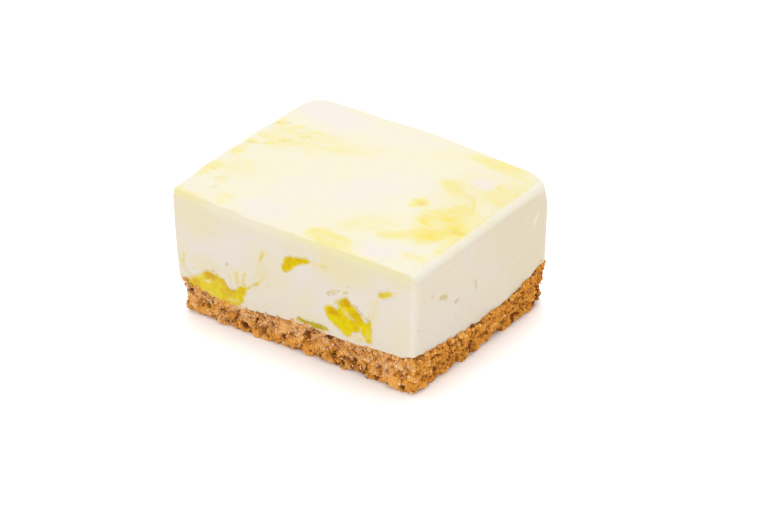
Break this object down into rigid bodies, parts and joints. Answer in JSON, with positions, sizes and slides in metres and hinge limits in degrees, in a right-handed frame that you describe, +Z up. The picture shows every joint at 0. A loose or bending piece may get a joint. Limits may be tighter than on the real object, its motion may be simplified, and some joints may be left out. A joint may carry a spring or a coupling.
{
  "type": "lemon cheesecake",
  "caption": "Rectangular cut of lemon cheesecake: a crumb base, a thick pale cheese filling with a marbled top, and lemon curd that shows in the knife-cut side.",
  "frame": {"origin": "on the flat underside, below the middle of the square", "axes": "+X along the knife-cut side, with the cut facing -Y, and +Z up"},
  "size_m": [0.0774, 0.0612, 0.0391],
  "materials": {
    "crumb": "coarse golden-brown biscuit crumb, matte with small buttery highlights",
    "cheese": "dense set cream cheese, satin, with pale yellow marbling on the top",
    "curd": "wet, slightly translucent lemon curd"
  },
  "bodies": {
    "root": {"crumb_base": "crumb", "cheese_filling": "cheese", "curd_left": "curd", "curd_upper": "curd", "curd_right": "curd", "curd_foot": "curd", "curd_dab": "curd"}
  },
  "joints": []
}
